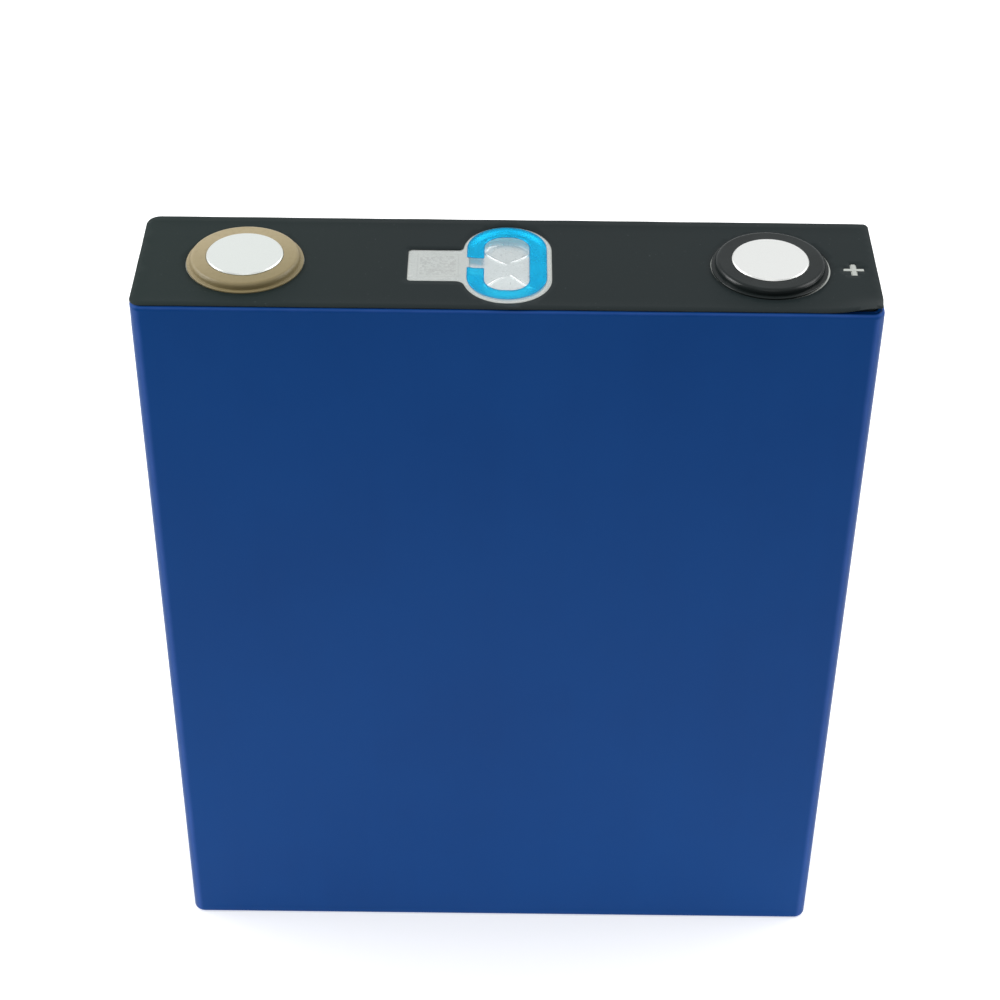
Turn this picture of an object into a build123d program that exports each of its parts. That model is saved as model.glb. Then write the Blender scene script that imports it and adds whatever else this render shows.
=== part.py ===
from build123d import *
import os
import math

# Prismatic lithium iron phosphate cell, top-tab type, with two wound rolls in a
# welded aluminium can, round weld-pad terminals and a burst vent in the lid.
# Frame: +Z up, +X towards the positive terminal, -Y is the front wide face.
# Origin: centre of the base. All dimensions in millimetres.

os.makedirs("parts", exist_ok=True)

# ---------------------------------------------------------------- driving sizes
WIDTH = 174.0            # overall, over the folded film flaps on the narrow sides
THICKNESS = 40.0         # overall, over the film on the wide faces
TOP_FACE_Z = 205.0       # upper face of the black top film
TERMINAL_Z = 207.0       # upper face of the terminals, the overall height

FILM_T = 0.2             # blue wrap film
TOP_FILM_INSET = 0.75    # black film stops this far inside the wide faces, and runs to the narrow ones
TOP_FILM_R = 2.0
WRAP_HX = WIDTH / 2 - 2 * FILM_T      # half width of one layer of film
WRAP_HY = THICKNESS / 2
WRAP_R = 3.2             # vertical edges of the wrap
WRAP_TOP_Z = 204.8
WRAP_TOP_FILLET = 1.0
WRAP_BASE_FILLET = 1.0
WRAP_LIP = 1.8           # how far the film turns in over the rim

CAN_HX = WRAP_HX - FILM_T
CAN_HY = WRAP_HY - FILM_T
CAN_R = 3.0
CAN_WALL = 0.7
CAN_FLOOR = 1.5
CAN_BASE_Z = FILM_T
CAN_TOP_Z = 204.6
CAN_TOP_FILLET = 0.65

LID_T = 2.0
LID_Z0 = CAN_TOP_Z - LID_T
LID_HX = CAN_HX - CAN_WALL
LID_HY = CAN_HY - CAN_WALL
LID_R = CAN_R - CAN_WALL

TERMINAL_X = 61.5        # each side of the middle, so the pads are 123 apart
PAD_R = 9.0              # round weld pad
PAD_FLANGE_R = 10.6      # hidden flange that the insulator grips
POST_R = 5.0
SEAL_R = 7.0             # lid hole, filled by the seal
SEAL_FLANGE_R = 9.0
RIVET_R = 6.8
RIVET_Z0 = 198.6

INS_FOOT_R = 13.75       # outer insulator, foot flange
INS_WALL_R = 13.0
INS_TOP_R = 12.8
INS_TOP_Z = 206.7
INS_WEB_T = 0.35

VENT_HW, VENT_HL = 9.0, 15.0      # recess in the lid, an obround across the cell
VENT_OPEN_HW, VENT_OPEN_HL = 8.2, 14.2
VENT_SEAT_Z = 203.1
VENT_RIM_T = 0.4
VENT_PLATE_T = 0.2

WINDOW_HW, WINDOW_HL = 10.4, 16.65  # keyhole window in the black film
TAB_X0, TAB_X1 = -23.35, -9.0
TAB_Y0, TAB_Y1 = -7.5, 6.1
RING_OUT_HW, RING_OUT_HL = 9.6, 15.7
RING_IN_HW, RING_IN_HL = 5.35, 11.3
RING_GAP = 4.0
COVER_T = 0.15
RING_T = 0.15

PLUS_X, PLUS_Y = 81.1, -0.75
PLUS_LEN, PLUS_ARM = 4.9, 1.15

FILL_X = 30.0            # electrolyte fill port, hidden under the black film

INSUL_Z0 = 201.0         # inner insulators under the lid
COLLECTOR_Z0 = 199.4
BAG_T = 0.2
BAG_HX, BAG_HY = 85.6, 19.02
BAG_Z0, BAG_Z1 = 1.7, 196.5
PLATE_T = 1.0

PITCH = 1.6              # one turn of anode, separator, cathode, separator
TURNS = 5
CORE_R = 0.45
ROLL_HX = 75.6           # half distance between the end bends
ROLL_Y0 = 8.61
GAP = 0.0625
T_ANODE, T_SEP, T_CATHODE = 0.45, 0.2, 0.5
SEP_Z0, SEP_Z1 = BAG_Z0 + BAG_T + PLATE_T, 190.5
ANODE_Z0, ANODE_Z1 = 3.8, 189.5
CATHODE_Z0, CATHODE_Z1 = 4.3, 189.0

parts = {}


def keep(name, shape):
    solids = shape.solids()
    parts[name] = solids[0] if len(solids) == 1 else Compound(children=list(solids))
    export_step(parts[name], f"parts/{name}.step")


def slab(hx, hy, r, z0, z1):
    """Upright block with rounded vertical edges."""
    return Pos(0, 0, z0) * extrude(RectangleRounded(2 * hx, 2 * hy, r), amount=z1 - z0)


def obround(hw, hl, z0, z1, x=0.0, y=0.0):
    """Obround block, long way across the cell."""
    return Pos(x, y, z0) * extrude(Rot(0, 0, 90) * SlotOverall(2 * hl, 2 * hw), amount=z1 - z0)


def cyl(r, z0, z1, x=0.0, y=0.0):
    return Pos(x, y, (z0 + z1) / 2) * Cylinder(r, z1 - z0)


def box(x0, x1, y0, y1, z0, z1):
    return Pos((x0 + x1) / 2, (y0 + y1) / 2, (z0 + z1) / 2) * Box(x1 - x0, y1 - y0, z1 - z0)


def turned(points, x=0.0):
    """Solid of revolution about a vertical axis at x, from (radius, z) points."""
    profile = make_face(Polyline([(r, 0, z) for r, z in points], close=True))
    return Pos(x, 0, 0) * revolve(profile, Axis.Z)


def at_z(shape, z, tol=0.01):
    return [e for e in shape.edges()
            if abs(e.bounding_box().min.Z - z) < tol and abs(e.bounding_box().max.Z - z) < tol]


# ---------------------------------------------------------------- can and wrap
can_block = slab(CAN_HX, CAN_HY, CAN_R, CAN_BASE_Z, CAN_TOP_Z)
can_block = fillet(at_z(can_block, CAN_BASE_Z), 0.8)
can_block = fillet(at_z(can_block, CAN_TOP_Z), CAN_TOP_FILLET)
cavity = slab(LID_HX, LID_HY, LID_R, CAN_BASE_Z + CAN_FLOOR, CAN_TOP_Z + 1)
cavity = fillet(at_z(cavity, CAN_BASE_Z + CAN_FLOOR), 0.6)
keep("can", can_block - cavity)

wrap_block = slab(WRAP_HX, WRAP_HY, WRAP_R, 0, WRAP_TOP_Z)
wrap_block = fillet(at_z(wrap_block, 0), WRAP_BASE_FILLET)
wrap_block = fillet(at_z(wrap_block, WRAP_TOP_Z), WRAP_TOP_FILLET)
window_hx, window_hy = WRAP_HX - WRAP_LIP, WRAP_HY - WRAP_LIP
wrap = wrap_block - can_block - slab(window_hx, window_hy, 2.0, CAN_TOP_Z - 0.01, WRAP_TOP_Z + 1)
# On each narrow side the front of the sheet laps over the back, with a free
# vertical edge, and the base flap folds up over both.
for side in (1, -1):
    lap = Polyline([(side * (WRAP_HX - 0.1), -16.6), (side * WRAP_HX, -16.6),
                    (side * (WRAP_HX + FILM_T), -13.6), (side * (WRAP_HX + FILM_T), 6.0),
                    (side * (WRAP_HX - 0.1), 6.0)], close=True)
    wrap += Pos(0, 0, 1.4) * extrude(make_face(lap), amount=202.4)
    flap = Plane.YZ * Polyline([(-16.2, 1.2), (16.2, 1.2), (4.6, 13.2), (-4.6, 13.2)], close=True)
    x0 = WRAP_HX - 0.1 if side > 0 else -WIDTH / 2
    wrap += Pos(x0, 0, 0) * extrude(make_face(flap), amount=2 * FILM_T + 0.1, dir=(1, 0, 0))
keep("outer_wrap", wrap)

# ---------------------------------------------------------------- lid
lid = slab(LID_HX, LID_HY, LID_R, LID_Z0, CAN_TOP_Z)
for x in (TERMINAL_X, -TERMINAL_X):
    lid -= cyl(SEAL_R, LID_Z0 - 1, CAN_TOP_Z + 1, x)
lid -= obround(VENT_HW, VENT_HL, VENT_SEAT_Z, CAN_TOP_Z + 1)
lid -= obround(VENT_OPEN_HW, VENT_OPEN_HL, LID_Z0 - 1, VENT_SEAT_Z + 1)
vent_edges = [e for e in at_z(lid, CAN_TOP_Z)
              if abs(e.center().X) < VENT_HW + 1 and e.bounding_box().max.Y <= VENT_HL + 0.1
              and e.bounding_box().min.Y >= -VENT_HL - 0.1 and e.bounding_box().max.X <= VENT_HW + 0.1
              and e.bounding_box().min.X >= -VENT_HW - 0.1]
lid = fillet(vent_edges, 0.4)
lid -= cyl(1.6, LID_Z0 - 1, CAN_TOP_Z, FILL_X)
lid -= cyl(2.4, 203.4, CAN_TOP_Z, FILL_X)
lid -= cyl(4.0, 204.2, CAN_TOP_Z + 1, FILL_X)
lid += box(PLUS_X - PLUS_LEN / 2 + 0.1, PLUS_X + PLUS_LEN / 2 - 0.1,
           PLUS_Y - PLUS_ARM / 2 + 0.1, PLUS_Y + PLUS_ARM / 2 - 0.1, CAN_TOP_Z - 0.1, CAN_TOP_Z + 0.15)
lid += box(PLUS_X - PLUS_ARM / 2 + 0.1, PLUS_X + PLUS_ARM / 2 - 0.1,
           PLUS_Y - PLUS_LEN / 2 + 0.1, PLUS_Y + PLUS_LEN / 2 - 0.1, CAN_TOP_Z - 0.1, CAN_TOP_Z + 0.15)
keep("lid", lid)

# ---------------------------------------------------------------- burst vent
vent = obround(VENT_HW, VENT_HL, VENT_SEAT_Z, VENT_SEAT_Z + VENT_RIM_T)
vent -= obround(VENT_OPEN_HW, VENT_OPEN_HL, VENT_SEAT_Z - 1, VENT_SEAT_Z + 0.1)
vent -= obround(VENT_OPEN_HW, VENT_OPEN_HL, VENT_SEAT_Z + 0.1 + VENT_PLATE_T, VENT_SEAT_Z + 1)
# Score lines: four diagonals that meet a short line at the middle.
SCORE_W, SCORE_DEPTH = 0.5, 0.08
score_z = VENT_SEAT_Z + 0.1 + VENT_PLATE_T
for sx in (1, -1):
    for sy in (1, -1):
        x0, y0, x1, y1 = 0.0, 1.7 * sy, 6.0 * sx, 8.0 * sy
        length = math.hypot(x1 - x0, y1 - y0)
        angle = math.degrees(math.atan2(y1 - y0, x1 - x0))
        groove = Pos((x0 + x1) / 2, (y0 + y1) / 2, score_z) * Rot(0, 0, angle) * Box(length, SCORE_W, 2 * SCORE_DEPTH)
        vent -= groove
vent -= Pos(0, 0, score_z) * Box(SCORE_W, 3.6, 2 * SCORE_DEPTH)
keep("vent_membrane", vent)

# Clear cover over the vent, with a tab to the left, and a blue ring on it.
cover = obround(WINDOW_HW - 0.3, WINDOW_HL - 0.3, CAN_TOP_Z, CAN_TOP_Z + COVER_T)
tab_w, tab_h = TAB_X1 - (TAB_X0 + 0.3), (TAB_Y1 - 0.3) - (TAB_Y0 + 0.3)
cover += Pos((TAB_X0 + 0.3 + TAB_X1) / 2, (TAB_Y0 + TAB_Y1) / 2, CAN_TOP_Z) * extrude(
    RectangleRounded(tab_w, tab_h, 0.7), amount=COVER_T)
keep("vent_cover_film", cover)
ring = obround(RING_OUT_HW, RING_OUT_HL, CAN_TOP_Z + COVER_T, CAN_TOP_Z + COVER_T + RING_T)
ring -= obround(RING_IN_HW, RING_IN_HL, CAN_TOP_Z, CAN_TOP_Z + 1)
ring -= box(-RING_OUT_HW - 1, 0, -RING_GAP / 2, RING_GAP / 2, CAN_TOP_Z, CAN_TOP_Z + 1)
keep("vent_cover_blue_ring", ring)

# ---------------------------------------------------------------- black top film
top_film = slab(WRAP_HX, WRAP_HY - TOP_FILM_INSET, TOP_FILM_R, WRAP_TOP_Z, TOP_FACE_Z)
top_film += slab(window_hx - 0.05, window_hy - 0.05, 1.95, CAN_TOP_Z, WRAP_TOP_Z + 0.05)
for x in (TERMINAL_X, -TERMINAL_X):
    top_film -= cyl(14.0, CAN_TOP_Z - 1, TOP_FACE_Z + 1, x)
top_film -= obround(WINDOW_HW, WINDOW_HL, CAN_TOP_Z - 1, TOP_FACE_Z + 1)
top_film -= Pos((TAB_X0 + TAB_X1) / 2, (TAB_Y0 + TAB_Y1) / 2, CAN_TOP_Z - 1) * extrude(
    RectangleRounded(TAB_X1 - TAB_X0, TAB_Y1 - TAB_Y0, 0.9), amount=3)
top_film -= box(PLUS_X - PLUS_LEN / 2, PLUS_X + PLUS_LEN / 2, PLUS_Y - PLUS_ARM / 2, PLUS_Y + PLUS_ARM / 2,
                CAN_TOP_Z - 1, TOP_FACE_Z + 1)
top_film -= box(PLUS_X - PLUS_ARM / 2, PLUS_X + PLUS_ARM / 2, PLUS_Y - PLUS_LEN / 2, PLUS_Y + PLUS_LEN / 2,
                CAN_TOP_Z - 1, TOP_FACE_Z + 1)
keep("top_film", top_film)

# ---------------------------------------------------------------- fill port
plug = cyl(1.6, LID_Z0, 203.4, FILL_X) + cyl(2.4, 203.4, 204.2, FILL_X)
keep("fill_port_plug", plug)
cap = cyl(4.0, 204.2, CAN_TOP_Z, FILL_X)
keep("fill_port_cap", cap)

# ---------------------------------------------------------------- terminals
FLANGE_Z0 = CAN_TOP_Z + INS_WEB_T
FLANGE_Z1 = 205.9
JOINT_Z = 205.4


def outer_insulator(x):
    pts = [(POST_R, CAN_TOP_Z), (INS_FOOT_R, CAN_TOP_Z), (INS_FOOT_R, CAN_TOP_Z + 0.45),
           (INS_WALL_R, CAN_TOP_Z + 0.6), (INS_TOP_R, INS_TOP_Z), (PAD_R + 0.05, INS_TOP_Z),
           (PAD_R + 0.05, FLANGE_Z1), (PAD_FLANGE_R, FLANGE_Z1), (PAD_FLANGE_R, FLANGE_Z0),
           (POST_R, FLANGE_Z0)]
    body = turned(pts, x)
    top_edges = [e for e in at_z(body, INS_TOP_Z)]
    outer = [e for e in top_edges if e.bounding_box().size.X > 2 * (INS_TOP_R - 0.2)]
    inner = [e for e in top_edges if e.bounding_box().size.X < 2 * (PAD_R + 0.3)]
    body = fillet(outer, 1.0)
    inner = [e for e in at_z(body, INS_TOP_Z) if e.bounding_box().size.X < 2 * (PAD_R + 0.3)]
    body = fillet(inner, 0.2)
    foot = [e for e in at_z(body, CAN_TOP_Z + 0.45) if e.bounding_box().size.X > 2 * (INS_FOOT_R - 0.05)]
    return fillet(foot, 0.15)


keep("positive_outer_insulator", outer_insulator(TERMINAL_X))
keep("negative_outer_insulator", outer_insulator(-TERMINAL_X))


def pad_edge(shape):
    return [e for e in at_z(shape, TERMINAL_Z)]


positive = turned([(0, RIVET_Z0), (RIVET_R - 0.3, RIVET_Z0), (RIVET_R, RIVET_Z0 + 0.3), (RIVET_R, COLLECTOR_Z0),
                   (POST_R, COLLECTOR_Z0), (POST_R, FLANGE_Z0), (PAD_FLANGE_R, FLANGE_Z0),
                   (PAD_FLANGE_R, FLANGE_Z1), (PAD_R, FLANGE_Z1), (PAD_R, TERMINAL_Z), (0, TERMINAL_Z)], TERMINAL_X)
positive = chamfer(pad_edge(positive), 0.25)
keep("positive_terminal", positive)

neg_cap = turned([(0, JOINT_Z), (PAD_FLANGE_R, JOINT_Z), (PAD_FLANGE_R, FLANGE_Z1), (PAD_R, FLANGE_Z1),
                  (PAD_R, TERMINAL_Z), (0, TERMINAL_Z)], -TERMINAL_X)
neg_cap = chamfer(pad_edge(neg_cap), 0.25)
keep("negative_terminal_pad", neg_cap)
neg_post = turned([(0, RIVET_Z0), (RIVET_R - 0.3, RIVET_Z0), (RIVET_R, RIVET_Z0 + 0.3), (RIVET_R, COLLECTOR_Z0),
                   (POST_R, COLLECTOR_Z0), (POST_R, FLANGE_Z0), (PAD_FLANGE_R, FLANGE_Z0),
                   (PAD_FLANGE_R, JOINT_Z), (0, JOINT_Z)], -TERMINAL_X)
keep("negative_terminal_post", neg_post)

SEAL_FLANGE_Z0 = LID_Z0 - 0.8
for name, x in (("positive_seal", TERMINAL_X), ("negative_seal", -TERMINAL_X)):
    keep(name, turned([(POST_R, SEAL_FLANGE_Z0), (SEAL_FLANGE_R, SEAL_FLANGE_Z0), (SEAL_FLANGE_R, LID_Z0),
                       (SEAL_R, LID_Z0), (SEAL_R, CAN_TOP_Z), (POST_R, CAN_TOP_Z)], x))

# ---------------------------------------------------------------- inner insulators
def inner_insulator(sign):
    x0, x1 = sorted((sign * 14.6, sign * 84.8))
    plate = box(x0, x1, -18.4, 18.4, INSUL_Z0, LID_Z0)
    plate = fillet(plate.edges().filter_by(Axis.Z), 1.5)
    # Skirts along the long edges keep the roll tabs off the can.
    for sy in (1, -1):
        y0, y1 = sorted((sy * 17.4, sy * 18.4))
        plate += box(x0 + 4, x1 - 4, y0, y1, 197.0, INSUL_Z0 + 0.2)
    plate -= cyl(POST_R, INSUL_Z0 - 1, LID_Z0 + 1, sign * TERMINAL_X)
    plate -= cyl(SEAL_FLANGE_R, SEAL_FLANGE_Z0, LID_Z0 + 1, sign * TERMINAL_X)
    return plate


keep("positive_inner_insulator", inner_insulator(1) - cyl(2.0, INSUL_Z0 - 1, LID_Z0 + 1, FILL_X))
keep("negative_inner_insulator", inner_insulator(-1))
grille = fillet(box(-14.2, 14.2, -18.4, 18.4, INSUL_Z0, LID_Z0).edges().filter_by(Axis.Z), 1.0)
for i in range(5):
    x = -7.0 + 3.5 * i
    grille -= Pos(x, 0, INSUL_Z0 - 1) * extrude(Rot(0, 0, 90) * SlotOverall(24.0 - 2.4 * abs(i - 2), 1.8), amount=4)
keep("vent_grille", grille)

# ---------------------------------------------------------------- current collectors
def collector(sign):
    x0, x1 = sorted((sign * 40.0, sign * 82.0))
    plate = box(x0, x1, -15.0, 15.0, COLLECTOR_Z0, INSUL_Z0)
    plate = fillet(plate.edges().filter_by(Axis.Z), 2.5)
    return plate - cyl(POST_R, COLLECTOR_Z0 - 1, INSUL_Z0 + 1, sign * TERMINAL_X)


keep("positive_collector", collector(1))
keep("negative_collector", collector(-1))


# ---------------------------------------------------------------- wound rolls
def spiral(off, side):
    """Edges of one flat spiral line, from the core out, and its two end points.
    side is -1 for the roll at the front and 1 for the roll at the back."""
    edges = []

    def p(x, y):
        # The front roll's free end is on its front face, the back roll's on its back face.
        return (x, (y - ROLL_Y0) * 1.0, 0) if side < 0 else (x, -(y - ROLL_Y0), 0)

    for k in range(TURNS):
        r = CORE_R + off + k * PITCH
        rl = r + PITCH / 2
        edges.append(Edge.make_three_point_arc(p(ROLL_HX, -r), p(ROLL_HX + r, 0), p(ROLL_HX, r)))
        edges.append(Edge.make_line(p(ROLL_HX, r), p(-ROLL_HX, r)))
        edges.append(Edge.make_three_point_arc(p(-ROLL_HX, r), p(-ROLL_HX - rl, -PITCH / 2), p(-ROLL_HX, -(r + PITCH))))
        edges.append(Edge.make_line(p(-ROLL_HX, -(r + PITCH)), p(ROLL_HX, -(r + PITCH))))
    return edges, p(ROLL_HX, -(CORE_R + off)), p(ROLL_HX, -(CORE_R + off + TURNS * PITCH))


def strip(off, t, z0, z1, side):
    inner, a0, b0 = spiral(off, side)
    outer, a1, b1 = spiral(off + t, side)
    wire = Wire(inner + outer + [Edge.make_line(a0, a1), Edge.make_line(b0, b1)])
    face = Face(wire)
    solid = extrude(face, amount=z1 - z0, dir=(0, 0, 1))
    return Pos(0, 0, z0) * solid


O_ANODE = 0.0
O_SEP_A = O_ANODE + T_ANODE + GAP
O_CATHODE = O_SEP_A + T_SEP + GAP
O_SEP_B = O_CATHODE + T_CATHODE + GAP


def level(offset_mid, outside, k, side):
    """Where the straight run of turn k lies in Y, on the outer or inner half of a roll."""
    y = -(CORE_R + offset_mid + (k + 1) * PITCH) if outside else CORE_R + offset_mid + k * PITCH
    y -= ROLL_Y0
    return y if side < 0 else -y


def tab_stack(offset_mid, foot_z, x0, x1, side):
    """Foils from four turns of one roll, gathered and folded flat under a collector."""
    s = side
    # Gathered bundle, an L with its pad under the collector.
    pad_z0, pad_z1 = COLLECTOR_Z0 - 0.8, COLLECTOR_Z0
    shape = Plane.YZ * Polyline([(s * 12.0, 195.4), (s * 12.0, pad_z1 - 0.6), (s * 11.4, pad_z1), (s * 7.8, pad_z1),
                                 (s * 7.8, pad_z0), (s * 11.0, pad_z0), (s * 11.0, 195.4)], close=True)
    body = Pos(x0, 0, 0) * extrude(make_face(shape), amount=x1 - x0, dir=(1, 0, 0))
    feet = [level(offset_mid, False, 0, side), level(offset_mid, True, 0, side),
            level(offset_mid, True, 1, side), level(offset_mid, True, 2, side)]
    for i, y in enumerate(sorted(feet, key=abs)):
        g = s * (11.15 + 0.23 * i)
        foil = Plane.YZ * Polyline([(y - 0.1, foot_z), (y + 0.1, foot_z), (y + 0.1, 191.3), (g + 0.1, 195.5),
                                    (g - 0.1, 195.5), (y - 0.1, 191.3)], close=True)
        body += Pos(x0, 0, 0) * extrude(make_face(foil), amount=x1 - x0, dir=(1, 0, 0))
    return body


for side, label in ((-1, "front"), (1, "back")):
    keep(f"{label}_roll_anode", strip(O_ANODE, T_ANODE, ANODE_Z0, ANODE_Z1, side))
    keep(f"{label}_roll_cathode", strip(O_CATHODE, T_CATHODE, CATHODE_Z0, CATHODE_Z1, side))
    sep_a = strip(O_SEP_A, T_SEP, SEP_Z0, SEP_Z1, side)
    sep_b = strip(O_SEP_B, T_SEP, SEP_Z0, SEP_Z1, side)
    keep(f"{label}_roll_separators", Compound(children=[sep_a.solids()[0], sep_b.solids()[0]]))
    keep(f"{label}_roll_positive_tabs", tab_stack(O_CATHODE + T_CATHODE / 2, CATHODE_Z1, 44.0, 72.0, side))
    keep(f"{label}_roll_negative_tabs", tab_stack(O_ANODE + T_ANODE / 2, ANODE_Z1, -72.0, -44.0, side))
    # Tape over the free end of the winding.
    y_out = ROLL_Y0 + CORE_R + O_SEP_B + T_SEP + TURNS * PITCH
    y0, y1 = sorted((side * y_out, side * (y_out + 0.1)))
    keep(f"{label}_roll_tape", box(52.0, 74.0, y0, y1, 6.0, 186.0))

# ---------------------------------------------------------------- bag and base plate
bag = slab(BAG_HX, BAG_HY, LID_R - 0.1, BAG_Z0, BAG_Z1)
bag = fillet(at_z(bag, BAG_Z0), 0.7)
pocket = slab(BAG_HX - BAG_T, BAG_HY - BAG_T, LID_R - 0.3, BAG_Z0 + BAG_T, BAG_Z1 + 1)
pocket = fillet(at_z(pocket, BAG_Z0 + BAG_T), 0.5)
bag -= pocket
keep("insulation_bag", bag)
plate = slab(84.6, 18.2, 2.0, BAG_Z0 + BAG_T, SEP_Z0)
for i in range(7):
    for sy in (1, -1):
        plate -= cyl(2.0, 0, 10, -66.0 + 22.0 * i, sy * 9.0)
keep("base_support_plate", plate)

print(len(parts), "nodes")
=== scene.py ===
import math
import random

import bpy
import numpy as np
from mathutils import Matrix, Vector
from mathutils.geometry import delaunay_2d_cdt


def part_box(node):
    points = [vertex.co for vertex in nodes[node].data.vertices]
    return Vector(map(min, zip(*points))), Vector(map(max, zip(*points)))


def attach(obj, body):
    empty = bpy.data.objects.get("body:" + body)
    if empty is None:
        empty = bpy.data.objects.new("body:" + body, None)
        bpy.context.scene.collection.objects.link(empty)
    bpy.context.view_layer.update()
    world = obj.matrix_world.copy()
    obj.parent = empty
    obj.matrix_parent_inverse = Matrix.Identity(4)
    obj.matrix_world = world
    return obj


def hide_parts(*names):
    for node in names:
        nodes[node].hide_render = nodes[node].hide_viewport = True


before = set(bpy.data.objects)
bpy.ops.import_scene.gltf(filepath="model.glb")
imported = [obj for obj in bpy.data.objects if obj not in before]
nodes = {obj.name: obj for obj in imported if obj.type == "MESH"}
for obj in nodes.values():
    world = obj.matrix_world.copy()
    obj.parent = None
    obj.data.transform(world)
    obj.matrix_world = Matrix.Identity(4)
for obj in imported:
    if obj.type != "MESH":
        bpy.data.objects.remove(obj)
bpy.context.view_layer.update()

MM = 0.001
scene = bpy.context.scene


# ------------------------------------------------------------------ sizes, in mm, read from the frame
def span(name):
    lo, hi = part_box(name)
    return [v / MM for v in lo], [v / MM for v in hi]


WRAP_LO, WRAP_HI = span("outer_wrap")
FILM_LO, FILM_HI = span("top_film")
LID_LO, LID_HI = span("lid")
CAN_LO, CAN_HI = span("can")
COVER_LO, COVER_HI = span("vent_cover_film")
RING_LO, RING_HI = span("vent_cover_blue_ring")
VENT_LO, VENT_HI = span("vent_membrane")
POS_LO, POS_HI = span("positive_outer_insulator")
NEG_LO, NEG_HI = span("negative_outer_insulator")
PAD_LO, PAD_HI = span("positive_terminal")
POS_X, NEG_X = (POS_LO[0] + POS_HI[0]) / 2, (NEG_LO[0] + NEG_HI[0]) / 2

SHEET = 0.2
HX = WRAP_HI[0] - 2 * SHEET            # one layer of wrap on the narrow sides
HY = WRAP_HI[1]
RIM_Z = WRAP_HI[2]
LID_Z = CAN_HI[2]
FILM_TOP = FILM_HI[2]


# ------------------------------------------------------------------ small helpers
def smooth(t):
    t = min(1.0, max(0.0, t))
    return t * t * (3 - 2 * t)


def ramp(v, a, b):
    return smooth((v - a) / (b - a))


def waves(seed, count, scale, octaves=1):
    """A smooth, repeatable 2-D function: a sum of sines with set random directions, about -1 to 1."""
    rng = random.Random(seed)
    terms = []
    for _ in range(count):
        a = rng.uniform(0, 2 * math.pi)
        k = 2 * math.pi / (scale * rng.uniform(0.6, 1.7))
        terms.append((k * math.cos(a), k * math.sin(a), rng.uniform(0, 2 * math.pi), rng.uniform(0.5, 1.0)))
    norm = sum(t[3] for t in terms) * 0.6

    def f(u, v):
        return sum(w * math.sin(kx * u + ky * v + p) for kx, ky, p, w in terms) / norm
    return f


def new_mesh(name, verts, faces, smooth_faces=True, sharp_deg=None):
    me = bpy.data.meshes.new(name)
    me.from_pydata([tuple(c * MM for c in v) for v in verts], [], faces)
    me.validate()
    me.update()
    ob = bpy.data.objects.new(name, me)
    scene.collection.objects.link(ob)
    for p in me.polygons:
        p.use_smooth = smooth_faces
    if sharp_deg is not None:
        me.set_sharp_from_angle(angle=math.radians(sharp_deg))
    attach(ob, "root")
    return ob


def rounded_loop(hx, hy, r, arc_step=0.35, run=4.0, start="front"):
    """Points (x, y, nx, ny) round a rounded rectangle, counter-clockwise seen from above, from the middle of -Y."""
    pts = []

    def line(x0, y0, x1, y1, nx, ny):
        n = max(1, round(math.hypot(x1 - x0, y1 - y0) / run))
        for i in range(n):
            t = i / n
            pts.append((x0 + (x1 - x0) * t, y0 + (y1 - y0) * t, nx, ny))

    def arc(cx, cy, a0):
        n = max(6, round(r * math.pi / 2 / arc_step))
        for i in range(n):
            a = a0 + (math.pi / 2) * i / n
            pts.append((cx + r * math.cos(a), cy + r * math.sin(a), math.cos(a), math.sin(a)))
    line(0, -hy, hx - r, -hy, 0, -1)
    arc(hx - r, -hy + r, -math.pi / 2)
    line(hx, -hy + r, hx, hy - r, 1, 0)
    arc(hx - r, hy - r, 0)
    line(hx - r, hy, -hx + r, hy, 0, 1)
    arc(-hx + r, hy - r, math.pi / 2)
    line(-hx, hy - r, -hx, -hy + r, -1, 0)
    arc(-hx + r, -hy + r, math.pi)
    line(-hx + r, -hy, 0, -hy, 0, -1)
    return pts


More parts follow.
